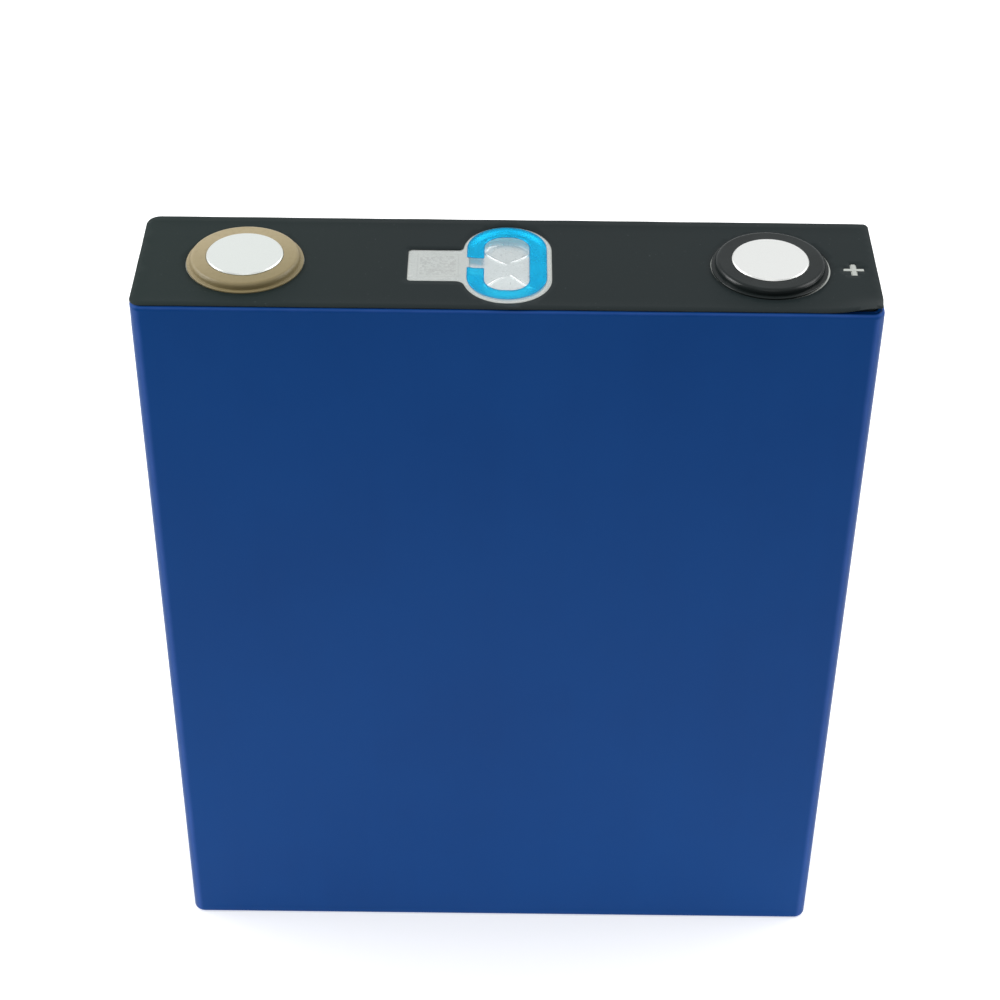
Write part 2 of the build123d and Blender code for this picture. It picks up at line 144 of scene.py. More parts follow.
# ------------------------------------------------------------------ node tree helpers
class Tree:
    def __init__(self, name):
        self.mat = bpy.data.materials.new(name)
        self.mat.use_nodes = True
        self.t = self.mat.node_tree
        self.t.nodes.clear()
        self.out = self.n("ShaderNodeOutputMaterial")
        self.co = self.n("ShaderNodeTexCoord").outputs["Object"]

    def n(self, kind, **props):
        node = self.t.nodes.new(kind)
        for k, v in props.items():
            setattr(node, k, v)
        return node

    def link(self, a, b):
        self.t.links.new(a, b)
        return b

    def put(self, sock, value):
        if isinstance(value, bpy.types.NodeSocket):
            self.t.links.new(value, sock)
        elif value is not None:
            sock.default_value = value

    def scaled(self, sx, sy=None, sz=None, rot=(0, 0, 0), loc=(0, 0, 0)):
        m = self.n("ShaderNodeMapping")
        m.inputs["Scale"].default_value = (sx, sx if sy is None else sy, sx if sz is None else sz)
        m.inputs["Rotation"].default_value = rot
        m.inputs["Location"].default_value = loc
        self.link(self.co, m.inputs["Vector"])
        return m.outputs["Vector"]

    def noise(self, scale, detail=3.0, rough=0.5, vec=None, distortion=0.0, dims="3D"):
        """Noise with this many features per millimetre."""
        x = self.n("ShaderNodeTexNoise", noise_dimensions=dims)
        x.inputs["Scale"].default_value = scale * 1000 if vec is None else scale
        x.inputs["Detail"].default_value = detail
        x.inputs["Roughness"].default_value = rough
        x.inputs["Distortion"].default_value = distortion
        self.link(self.co if vec is None else vec, x.inputs["Vector"])
        return x.outputs["Fac"]

    def remap(self, value, a, b, c, d, clamp=True, kind="LINEAR"):
        m = self.n("ShaderNodeMapRange", interpolation_type=kind)
        m.clamp = clamp
        for i, v in ((1, a), (2, b), (3, c), (4, d)):
            m.inputs[i].default_value = v
        self.put(m.inputs[0], value)
        return m.outputs[0]

    def math(self, op, a, b=None, c=None):
        m = self.n("ShaderNodeMath", operation=op)
        self.put(m.inputs[0], a)
        self.put(m.inputs[1], b)
        self.put(m.inputs[2], c)
        return m.outputs[0]

    def mix(self, fac, a, b, blend="MIX"):
        m = self.n("ShaderNodeMix", data_type="RGBA", blend_type=blend)
        self.put(m.inputs[0], fac)
        self.put(m.inputs[6], a if isinstance(a, bpy.types.NodeSocket) else (*a, 1))
        self.put(m.inputs[7], b if isinstance(b, bpy.types.NodeSocket) else (*b, 1))
        return m.outputs[2]

    def xyz(self, vec=None):
        s = self.n("ShaderNodeSeparateXYZ")
        self.link(self.co if vec is None else vec, s.inputs[0])
        return s.outputs

    def edge(self, radius, samples=4):
        """1 on convex edges within about radius metres, 0 elsewhere."""
        b = self.n("ShaderNodeBevel", samples=samples)
        b.inputs["Radius"].default_value = radius
        g = self.n("ShaderNodeNewGeometry")
        d = self.n("ShaderNodeVectorMath", operation="DOT_PRODUCT")
        self.link(b.outputs[0], d.inputs[0])
        self.link(g.outputs["Normal"], d.inputs[1])
        return self.remap(d.outputs["Value"], 0.99, 0.8, 0.0, 1.0)

    def bump(self, height, strength, distance, normal=None):
        b = self.n("ShaderNodeBump")
        b.inputs["Strength"].default_value = strength
        b.inputs["Distance"].default_value = distance
        self.put(b.inputs["Height"], height)
        if normal is not None:
            self.link(normal, b.inputs["Normal"])
        return b.outputs[0]

    def shade(self, color, rough, normal=None, **fixed):
        p = self.n("ShaderNodeBsdfPrincipled")
        self.put(p.inputs["Base Color"], color if isinstance(color, bpy.types.NodeSocket) else (*color, 1))
        self.put(p.inputs["Roughness"], rough)
        if normal is not None:
            self.link(normal, p.inputs["Normal"])
        for k, v in fixed.items():
            p.inputs[k.replace("_", " ")].default_value = v
        self.link(p.outputs[0], self.out.inputs[0])
        self.p = p
        return self.mat


def srgb(r, g, b):
    return tuple((c / 255 / 12.92) if c / 255 <= 0.04045 else ((c / 255 + 0.055) / 1.055) ** 2.4 for c in (r, g, b))


def paint(names, material):
    for n in ([names] if isinstance(names, str) else names):
        ob = nodes[n] if isinstance(n, str) else n
        if not ob.material_slots:
            ob.data.materials.append(material)
        for s in ob.material_slots:
            s.material = material


# ------------------------------------------------------------------ materials
def blue_film():
    t = Tree("blue_wrap_film")
    broad = t.noise(0.018, 3.0, 0.55)
    streak = t.noise(1.0, 4.0, 0.6, vec=t.scaled(60, 60, 5))
    base = t.mix(t.remap(broad, 0.3, 0.7, 0.0, 1.0), (0.0002, 0.052, 0.232), (0.0004, 0.058, 0.252))
    base = t.mix(t.remap(streak, 0.45, 0.75, 0.0, 0.2), base, (0.001, 0.066, 0.28))
    dust = t.remap(t.noise(1.6, 2.0, 0.5), 0.75, 0.79, 0.0, 0.18)
    base = t.mix(dust, base, srgb(92, 130, 180))
    painted_light_shade = t.n("ShaderNodeAttribute", attribute_name="painted_light_shade").outputs["Fac"]      # painted light on the film: highlights over the rim and the vertical corners, shadow under the black film's edge
    painted_light_shade = t.math("MULTIPLY", painted_light_shade, t.remap(t.noise(0.15, 3.0, 0.5), 0.3, 0.7, 0.75, 1.0))
    # painted highlight: paler blue over the rim's round and down the vertical corners
    base = t.mix(t.remap(painted_light_shade, 0.15, 0.95, 0.0, 0.95), base, (0.048, 0.122, 0.46))
    # painted shadow: darker blue just under the black film's edge
    base = t.mix(t.remap(painted_light_shade, -0.6, 0.0, 0.85, 0.0), base, (0.0004, 0.010, 0.06))
    # painted highlight: lighter blue along convex edges, in the rim highlight's tone
    edge_highlight = t.edge(0.0005)
    base = t.mix(t.math("MULTIPLY", edge_highlight, t.remap(t.noise(0.12, 4.0, 0.6), 0.35, 0.7, 0.22, 0.42)), base, srgb(60, 100, 172))
    rough = t.math("ADD", t.remap(broad, 0.3, 0.7, 0.3, 0.36), t.remap(streak, 0.4, 0.7, 0.0, 0.06))
    rough = t.math("ADD", rough, t.math("MULTIPLY", dust, 0.5))
    height = t.math("ADD", t.math("MULTIPLY", t.noise(0.12, 2.0, 0.5), 1.0), t.math("MULTIPLY", t.noise(4.0, 2.0, 0.5), 0.02))
    n = t.bump(height, 0.06, 0.0002)
    return t.shade(base, rough, n, IOR=1.5, Specular_IOR_Level=0.1)


def black_film():
    t = Tree("black_top_film")
    broad = t.noise(0.03, 3.0, 0.55)
    fine = t.noise(9.0, 2.0, 0.6)
    base = t.mix(t.remap(broad, 0.3, 0.7, 0, 1), (0.0065, 0.0130, 0.0138), (0.0095, 0.0165, 0.0175))
    x, y, z = t.xyz()
    base = t.mix(t.remap(x, -0.085, -0.02, 0.8, 0.0), base, (0.0085, 0.0200, 0.0180))        # paler towards the negative end
    base = t.mix(t.remap(fine, 0.55, 0.8, 0, 0.5), base, (0.028, 0.036, 0.038))
    dust = t.remap(t.noise(1.3, 2.0, 0.5), 0.73, 0.77, 0.0, 0.2)
    base = t.mix(dust, base, srgb(120, 128, 130))
    base = t.mix(t.math("MULTIPLY", t.edge(0.0002), 0.5), base, srgb(96, 104, 106))
    rough = t.remap(broad, 0.3, 0.7, 0.5, 0.58)
    rough = t.math("ADD", rough, t.remap(fine, 0.3, 0.7, -0.04, 0.04))
    n = t.bump(fine, 0.25, 0.00004)
    n = t.bump(t.noise(0.25, 2.0, 0.5), 0.08, 0.0002, n)
    return t.shade(base, rough, n, IOR=1.45, Specular_IOR_Level=0.2)


def aluminium(name, tint, rough_lo, rough_hi, grain=(3, 3, 3), turned_x=None, bump=0.1, dark=0.82):
    t = Tree(name)
    vec = t.scaled(grain[0] * 1000, grain[1] * 1000, grain[2] * 1000)
    g = t.noise(1.0, 4.0, 0.6, vec=vec)
    broad = t.noise(0.12, 3.0, 0.5)
    darker = tuple(c * dark for c in tint)
    base = t.mix(t.remap(g, 0.35, 0.65, 0, 1), darker, tint)
    base = t.mix(t.remap(broad, 0.35, 0.7, 0.0, 0.25), base, tuple(c * 0.9 for c in tint))
    rough = t.math("ADD", t.remap(g, 0.3, 0.7, rough_lo, rough_hi), t.remap(broad, 0.3, 0.7, -0.03, 0.03))
    height = g
    if turned_x is not None:
        x, y, z = t.xyz()
        dx = t.math("SUBTRACT", x, turned_x * MM)
        r = t.math("SQRT", t.math("ADD", t.math("MULTIPLY", dx, dx), t.math("MULTIPLY", y, y)))
        lines = t.math("SINE", t.math("MULTIPLY", r, 2 * math.pi / 0.00022))
        wob = t.noise(1.0, 3.0, 0.6, vec=t.scaled(900))
        height = t.math("ADD", t.math("MULTIPLY", g, 0.15), t.math("MULTIPLY", lines, t.remap(wob, 0.3, 0.7, 0.02, 0.12)))
        scr = t.noise(1.0, 2.0, 0.6, vec=t.scaled(400, 9000, 400, rot=(0, 0, 0.5)))
        base = t.mix(t.remap(scr, 0.66, 0.72, 0, 0.35), base, tuple(c * 0.8 for c in tint))
        base = t.mix(t.math("MULTIPLY", t.edge(0.0003), 0.6), base, (0.93, 0.93, 0.92))
    n = t.bump(height, bump, 0.00003)
    return t.shade(base, rough, n, Metallic=1.0)


def moulded(name, light, mid, dark, rough, mottle=0.08, painted_shade_y=0.0, level=0.5):
    """Moulded plastic: broad mottling, finer specks, rubbed edges. An optional painted shade deepens the tone towards
    -Y, and a little towards +X, on the side that gets less light.
    """
    t = Tree(name)
    a = t.noise(mottle, 4.0, 0.6, distortion=0.4)
    b = t.noise(0.9, 3.0, 0.6)
    base = t.mix(t.remap(a, 0.3, 0.7, 0, 1), mid, light)
    base = t.mix(t.remap(b, 0.5, 0.8, 0, 0.4), base, dark)
    if painted_shade_y:
        # painted shade: darker towards -Y and a little towards +X, where less light falls
        x, y, z = t.xyz()
        side = t.math("ADD", t.math("MULTIPLY", x, 0.35), t.math("MULTIPLY", y, -1.0))
        side = t.math("ADD", side, t.math("MULTIPLY", t.math("SUBTRACT", a, 0.5), 0.02))
        lo = -0.011 + 0.35 * NEG_X * MM
        base = t.mix(t.remap(side, lo, lo + 0.026, 0, painted_shade_y, kind="SMOOTHSTEP"), base, dark)
    base = t.mix(t.math("MULTIPLY", t.edge(0.0003), 0.35), base, light)
    fine = t.noise(12.0, 2.0, 0.6)
    r = t.math("ADD", t.remap(b, 0.3, 0.7, rough - 0.03, rough + 0.05), t.remap(fine, 0.3, 0.7, -0.02, 0.02))
    n = t.bump(t.math("ADD", t.math("MULTIPLY", fine, 0.5), t.math("MULTIPLY", b, 1.5)), 0.1, 0.00004)
    return t.shade(base, r, n, IOR=1.5, Specular_IOR_Level=level)


def plain(name, color, rough, metallic=0.0, scale=1.0, contrast=0.15, stretch=(1, 1, 1)):
    """For pieces inside the can: mottled colour, uneven gloss and a light grain."""
    t = Tree(name)
    v = t.scaled(*(scale * 1000 * s for s in stretch))
    a = t.noise(1.0, 4.0, 0.6, vec=v)
    b = t.noise(0.05, 3.0, 0.5)
    base = t.mix(t.remap(a, 0.3, 0.7, 0, 1), tuple(c * (1 - contrast) for c in color), tuple(min(1, c * (1 + contrast)) for c in color))
    base = t.mix(t.remap(b, 0.35, 0.7, 0, 0.3), base, tuple(c * (1 - 2 * contrast) for c in color))
    r = t.remap(a, 0.3, 0.7, rough - 0.06, rough + 0.08)
    return t.shade(base, r, t.bump(a, 0.15, 0.00005), Metallic=metallic)


def ring_film():
    """Translucent blue print: part of the light passes through, tinted, to the bright metal below and back."""
    t = Tree("vent_ring_blue_film")
    broad = t.noise(0.12, 3.0, 0.5)
    fine = t.noise(2.2, 3.0, 0.6)
    base = t.mix(t.remap(broad, 0.3, 0.7, 0, 1), (0.006, 0.52, 0.86), (0.008, 0.60, 0.92))
    base = t.mix(t.remap(fine, 0.55, 0.8, 0, 0.2), base, (0.04, 0.42, 0.82))
    line = t.n("ShaderNodeAttribute", attribute_name="print_edge").outputs["Fac"]
    line = t.remap(line, 0.35, 0.9, 0.0, 0.55)
    base = t.mix(line, base, (0.006, 0.14, 0.42))
    rough = t.remap(broad, 0.3, 0.7, 0.24, 0.3)
    height = t.math("ADD", t.math("MULTIPLY", t.noise(0.5, 2.0, 0.5), 0.7), t.math("MULTIPLY", fine, 0.1))
    t.shade(base, rough, t.bump(height, 0.08, 0.0001), Metallic=0.85, IOR=1.5, Specular_IOR_Level=0.3)
    clear = t.n("ShaderNodeBsdfTransparent")
    t.link(t.mix(t.remap(fine, 0.3, 0.7, 0, 1), (0.26, 0.87, 0.99), (0.32, 0.90, 0.995)), clear.inputs[0])
    both = t.n("ShaderNodeMixShader")
    t.link(t.math("ADD", t.math("MULTIPLY", line, 0.6), 0.42), both.inputs[0])
    t.link(clear.outputs[0], both.inputs[1])
    t.link(t.p.outputs[0], both.inputs[2])
    t.link(both.outputs[0], t.out.inputs[0])
    return t.mat


def clear_film():
    t = Tree("vent_clear_film")
    broad = t.noise(0.15, 3.0, 0.5)
    base = t.mix(t.remap(broad, 0.3, 0.7, 0, 1), (0.78, 0.84, 0.86), (0.86, 0.9, 0.91))
    rough = t.remap(t.noise(1.0, 3.0, 0.6), 0.3, 0.7, 0.08, 0.2)
    m = t.shade(base, rough, t.bump(t.noise(0.4, 2.0, 0.5), 0.15, 0.0001), Alpha=0.13, IOR=1.5)
    return m


def lid_metal():
    """Pressed aluminium with a faint engraved block of square cells beside the vent. The cells are random and say nothing."""
    t = Tree("lid_aluminium")
    g = t.noise(1.0, 4.0, 0.6, vec=t.scaled(600, 2500, 2500))
    broad = t.noise(0.1, 3.0, 0.5)
    base = t.mix(t.remap(g, 0.35, 0.65, 0, 1), (0.56, 0.58, 0.545), (0.66, 0.68, 0.64))
    base = t.mix(t.remap(broad, 0.35, 0.7, 0.0, 0.25), base, (0.54, 0.56, 0.53))
    x, y, z = t.xyz()
    cx, cy, half, cell = (TAB_X0 + 7.05) * MM, (TAB_Y0 + TAB_Y1 + 0.4) / 2 * MM, 4.2 * MM, 0.5 * MM
    snap = t.n("ShaderNodeVectorMath", operation="SNAP")
    t.link(t.co, snap.inputs[0])
    snap.inputs[1].default_value = (cell, cell, 10.0)
    white = t.n("ShaderNodeTexWhiteNoise", noise_dimensions="2D")
    t.link(snap.outputs[0], white.inputs["Vector"])
    dots = t.math("GREATER_THAN", white.outputs["Value"], 0.52)
    dx = t.math("ABSOLUTE", t.math("SUBTRACT", x, cx))
    dy = t.math("ABSOLUTE", t.math("SUBTRACT", y, cy))
    inside = t.math("LESS_THAN", t.math("MAXIMUM", dx, dy), half)
    frame_line = t.math("MULTIPLY", t.math("LESS_THAN", t.math("MAXIMUM", dx, dy), half + 0.75 * MM),
                        t.math("MULTIPLY", t.math("GREATER_THAN", t.math("MAXIMUM", dx, dy), half + 0.45 * MM), 0.55))
    up = t.math("GREATER_THAN", z, (LID_Z - 0.05) * MM)
    code = t.math("MULTIPLY", t.math("MAXIMUM", t.math("MULTIPLY", inside, dots), frame_line), up)
    soft = t.math("MULTIPLY", code, t.remap(t.noise(0.6, 2.0, 0.5), 0.3, 0.7, 0.45, 1.0))
    base = t.mix(soft, base, (0.47, 0.48, 0.45))
    rough = t.math("ADD", t.remap(g, 0.3, 0.7, 0.34, 0.44), t.math("MULTIPLY", code, 0.1))
    n = t.bump(t.math("SUBTRACT", g, t.math("MULTIPLY", code, 1.6)), 0.14, 0.00003)
    return t.shade(base, rough, n, Metallic=1.0)


def vent_metal():
    """Thin bright membrane, with painted highlights along its score lines."""
    t = Tree("vent_membrane_aluminium")
    g = t.noise(1.0, 4.0, 0.6, vec=t.scaled(1500))
    broad = t.noise(0.15, 3.0, 0.5)
    base = t.mix(t.remap(g, 0.35, 0.65, 0, 1), (0.56, 0.60, 0.595), (0.62, 0.66, 0.655))
    base = t.mix(t.remap(broad, 0.35, 0.7, 0.0, 0.3), base, (0.53, 0.58, 0.58))
    # painted highlight: near-white along the score lines, with a little less roughness there
    line = t.n("ShaderNodeAttribute", attribute_name="score_glint").outputs["Fac"]
    line = t.remap(line, 0.3, 0.8, 0.0, 1.0)
    base = t.mix(line, base, (0.985, 0.985, 0.98))
    rough = t.math("SUBTRACT", t.remap(g, 0.3, 0.7, 0.27, 0.3), t.math("MULTIPLY", line, 0.1))
    return t.shade(base, rough, t.bump(g, 0.03, 0.00003), Metallic=1.0)


# The keyhole window's tab, as cut in the black film and the clear film.
TAB_X0, TAB_X1 = COVER_LO[0] - 0.3, -9.0
TAB_Y0, TAB_Y1 = -7.5, 6.1
WIN_HW, WIN_HL = COVER_HI[0] + 0.3, COVER_HI[1] + 0.3

BLUE = blue_film()
BLACK = black_film()
RING = ring_film()
CLEAR = clear_film()
LID = lid_metal()
VENT = vent_metal()
paint("lid", LID)
paint("positive_terminal", aluminium("positive_pad_aluminium", (0.93, 0.94, 0.915), 0.36, 0.42, turned_x=POS_X, dark=0.96))
paint("negative_terminal_pad", aluminium("negative_pad_aluminium", (0.89, 0.925, 0.89), 0.36, 0.42, turned_x=NEG_X, dark=0.95))
paint("positive_outer_insulator", moulded("black_ring_plastic", (0.012, 0.0155, 0.0155), (0.005, 0.0075, 0.0075), (0.003, 0.0045, 0.0045), 0.2, level=0.2))
paint("negative_outer_insulator", moulded("tan_ring_plastic", (0.375, 0.307, 0.182), (0.33, 0.27, 0.147), (0.205, 0.163, 0.073), 0.33, painted_shade_y=0.85, level=0.35))

paint("can", aluminium("can_aluminium", (0.74, 0.75, 0.76), 0.3, 0.42, grain=(2, 2, 0.1)))
paint("fill_port_cap", aluminium("port_cap_aluminium", (0.76, 0.77, 0.77), 0.3, 0.4))
paint("positive_collector", aluminium("collector_aluminium", (0.78, 0.79, 0.8), 0.28, 0.4, grain=(0.3, 4, 4)))
paint(["front_roll_positive_tabs", "back_roll_positive_tabs"], aluminium("tab_foil_aluminium", (0.82, 0.83, 0.84), 0.2, 0.35, grain=(0.4, 4, 4)))
COPPER = aluminium("copper_plate", (0.78, 0.4, 0.26), 0.28, 0.42, grain=(0.4, 4, 4), dark=0.85)
paint(["negative_collector", "negative_terminal_post"], COPPER)
paint(["front_roll_negative_tabs", "back_roll_negative_tabs"], aluminium("tab_foil_copper", (0.82, 0.45, 0.3), 0.22, 0.38, grain=(0.4, 4, 4)))
RUBBER = moulded("seal_rubber", (0.03, 0.03, 0.03), (0.018, 0.018, 0.018), (0.01, 0.01, 0.01), 0.62)
paint(["positive_seal", "negative_seal", "fill_port_plug"], RUBBER)
paint(["positive_inner_insulator", "negative_inner_insulator", "vent_grille", "base_support_plate"],
      moulded("inner_plastic", (0.8, 0.79, 0.75), (0.74, 0.73, 0.69), (0.66, 0.65, 0.6), 0.42))
paint(["front_roll_anode", "back_roll_anode"], plain("graphite_coat", (0.055, 0.055, 0.06), 0.6, scale=2.0))
paint(["front_roll_cathode", "back_roll_cathode"], plain("phosphate_coat", (0.03, 0.03, 0.032), 0.7, scale=2.0))
paint(["front_roll_separators", "back_roll_separators"], plain("separator_film", (0.86, 0.87, 0.88), 0.4, scale=0.6, contrast=0.04, stretch=(1, 1, 0.1)))
paint(["front_roll_tape", "back_roll_tape"], plain("roll_tape", (0.08, 0.34, 0.22), 0.35, scale=0.5))
paint("insulation_bag", plain("bag_film", (0.7, 0.74, 0.78), 0.3, scale=0.3, contrast=0.06))

# ------------------------------------------------------------------ wrap film: one seamless shell
RIM_R, BASE_R, CORNER_R = 1.0, 1.0, 3.2
LIP_IN = 1.8
bulge = waves(11, 9, 70)
ripple = waves(12, 14, 14)
pleat = waves(13, 10, 2.2)


def wrap_profile():
    """(inset from the faces, z) down the section from the lip's inner edge, over the rim and down to the base's middle.
    """
    rows = []
    z_in = RIM_Z
    for i in range(4):
        rows.append((LIP_IN - (LIP_IN - RIM_R) * i / 4, z_in))
    for i in range(11):
        a = math.pi / 2 * i / 10
        rows.append((RIM_R - RIM_R * math.sin(a), RIM_Z - RIM_R + RIM_R * math.cos(a)))
    z = RIM_Z - RIM_R
    for d in (0.3, 0.6, 0.9, 1.25, 1.6, 2.0, 2.5, 3.1, 3.9, 5.0, 6.4, 8.0):
        rows.append((0.0, z - d))
    top, bottom = z - 8.0, BASE_R + 6.0
    n = 48
    for i in range(1, n + 1):
        rows.append((0.0, top + (bottom - top) * i / n))
    for d in (4.2, 2.8, 1.7, 0.9, 0.4, 0.0):
        rows.append((0.0, BASE_R + d))
    for i in range(1, 9):
        a = math.pi / 2 * i / 8
        rows.append((BASE_R * (1 - math.cos(a)), BASE_R * (1 - math.sin(a))))
    for inset in (1.6, 2.4, 3.1):
        rows.append((inset, 0.0))
    return rows


def build_wrap():
    loop = rounded_loop(HX, HY, CORNER_R, arc_step=0.25, run=2.6)
    rows = wrap_profile()
    verts, painted_light_values = [], []
    ncol = len(loop)
    for inset, z in rows:
        for x, y, nx, ny in loop:
            corner = abs(x) > HX - CORNER_R - 0.01 and abs(y) > HY - CORNER_R - 0.01
            # a rounded rectangle set in by `inset` keeps the corner's centre
            px, py = x - nx * inset, y - ny * inset
            if inset > CORNER_R:
                px, py = x - nx * CORNER_R, y - ny * CORNER_R
            out = 0.0
            wall = ramp(z, BASE_R, BASE_R + 12) * (1 - ramp(z, RIM_Z - 14, RIM_Z - RIM_R - 0.5))
            if abs(ny) > 0.99:          # wide faces: held tight at the edges, very slightly full in the middle
                edge = ramp(HX - CORNER_R - abs(x), 0, 25)
                out += wall * edge * (0.06 * bulge(x, z) + 0.05)
                out += wall * 0.012 * ripple(x, z)
            elif abs(nx) > 0.99:
                edge = ramp(HY - CORNER_R - abs(y), 0, 6)
                out += wall * edge * 0.03 * bulge(y + 300, z)
            # pleats where the film turns in over the rim at the corners
            k = ramp(z, RIM_Z - 7.0, RIM_Z - 1.2)
            ang = math.atan2(ny, nx)
            if k > 0:
                cx, cy = math.copysign(HX - CORNER_R, x), math.copysign(HY - CORNER_R, y)
                d = math.hypot(x - (cx + CORNER_R * 0.7071 * math.copysign(1, x)), y - (cy + CORNER_R * 0.7071 * math.copysign(1, y)))
                near = 1 - ramp(d, 1.5, 5.5)
                if near > 0:
                    fold = pleat(ang * 3.2 + 7 * (x > 0) + 3 * (y > 0), 0.25 * z)
                    out += near * k * (0.09 * fold - 0.02)
            # painted light for the film's colour: a highlight band along the rim's round, a painted shadow just inside
            # it under the black film's edge, and highlight bands down the vertical corners
            on_top = z > RIM_Z - 1.5
            rim_light_shade = 0.62 * math.exp(-((math.hypot(inset - 0.32, z - (RIM_Z - 0.42)) if on_top else 9.0) / 0.42) ** 2)
            rim_light_shade -= 0.95 * math.exp(-((inset - 0.82) / 0.22) ** 2) if on_top else 0.0
            painted_light_values.append(rim_light_shade if on_top and abs(rim_light_shade) > 0.05 else max(rim_light_shade, 0.52 * (1 - abs(abs(nx) - 0.45) / 0.45) if corner else 0.0))
            verts.append((px + nx * out, py + ny * out, z + (0.05 * pleat(ang * 3.0, 3.0) if inset > 0.6 and z > 10 and corner else 0.0)))
    faces = []
    for r in range(len(rows) - 1):
        for c in range(ncol):
            a, b = r * ncol + c, r * ncol + (c + 1) % ncol
            d, e = a + ncol, b + ncol
            faces.append((a, d, e, b))
    # the base, meshed evenly inside the last loop
    last = (len(rows) - 1) * ncol
    ring_xy = [verts[last + c][:2] for c in range(ncol)]
    near = np.array(ring_xy)
    fill = []
    for j, gy in enumerate(np.arange(-HY + 5.0, HY - 4.0, 3.2)):
        for gx in np.arange(-HX + 5.0 + 1.8 * (j % 2), HX - 4.0, 3.6):
            if np.linalg.norm(near - (gx, gy), axis=1).min() > 1.2:
                fill.append((gx, gy))
    rim_edges = [(c, (c + 1) % ncol) for c in range(ncol)]
    vs, _, tris, ov, _, _ = delaunay_2d_cdt([Vector(p) for p in ring_xy + fill], rim_edges, [], 0, 1e-7)
    centres = np.array([np.mean([tuple(vs[i]) for i in t], axis=0) for t in tris])
    index = []
    for v, olds in zip(vs, ov):
        if olds and olds[0] < ncol:
            index.append(last + olds[0])
        else:
            index.append(len(verts))
            verts.append((v.x, v.y, 0.0))
            painted_light_values.append(0.0)
    for t, ok in zip(tris, inside_loops(centres, [ring_xy])):
        if ok:
            a, b, c = (vs[i] for i in t)
            up = (b.x - a.x) * (c.y - a.y) - (b.y - a.y) * (c.x - a.x) > 0
            faces.append(tuple(index[i] for i in (reversed(t) if up else t)))
    ob = new_mesh("wrap_film", verts, faces, sharp_deg=50)
    # the painted highlights and shadow, stored per point for the film's material
    painted_light_shade = ob.data.attributes.new("painted_light_shade", "FLOAT", "POINT")
    painted_light_shade.data.foreach_set("value", painted_light_values)
    sol = ob.modifiers.new("sheet", "SOLIDIFY")
    sol.thickness = SHEET * MM
    sol.offset = -1
    sol.use_even_offset = False
    return ob


# ------------------------------------------------------------------ thin sheets cut to an outline
def arc_pts(cx, cy, r, a0, a1, step=0.3):
    n = max(4, round(abs(a1 - a0) * r / step))
    return [(cx + r * math.cos(a0 + (a1 - a0) * i / n), cy + r * math.sin(a0 + (a1 - a0) * i / n)) for i in range(n + 1)]


def dense(pts, step):
    """The closed outline with its long runs divided."""
    out = []
    for i, (x0, y0) in enumerate(pts):
        x1, y1 = pts[(i + 1) % len(pts)]
        n = max(1, math.ceil(math.hypot(x1 - x0, y1 - y0) / step))
        out += [(x0 + (x1 - x0) * k / n, y0 + (y1 - y0) * k / n) for k in range(n)]
    keep = []
    for p in out:
        if not keep or math.hypot(p[0] - keep[-1][0], p[1] - keep[-1][1]) > 1e-4:
            keep.append(p)
    if math.hypot(keep[0][0] - keep[-1][0], keep[0][1] - keep[-1][1]) < 1e-4:
        keep.pop()
    return keep


def inside_loops(p, loops):
    hit = np.zeros(len(p), bool)
    for loop in loops:
        a = np.array(loop)
        b = np.roll(a, -1, axis=0)
        for (x0, y0), (x1, y1) in zip(a, b):
            cross = (p[:, 1] < y0) != (p[:, 1] < y1)
            if y0 != y1:
                hit ^= cross & (p[:, 0] < (x1 - x0) * (p[:, 1] - y0) / (y1 - y0) + x0)
    return hit


def loop_normals(loop):
    """Unit normals pointing out of the loop's left side taken as the material's side."""
    a = np.array(loop)
    d = np.roll(a, -1, axis=0) - np.roll(a, 1, axis=0)
    d /= np.linalg.norm(d, axis=1)[:, None] + 1e-12
    return np.stack([d[:, 1], -d[:, 0]], 1)


def signed_area(loop):
    a = np.array(loop)
    b = np.roll(a, -1, axis=0)
    return 0.5 * float(np.sum(a[:, 0] * b[:, 1] - b[:, 0] * a[:, 1]))


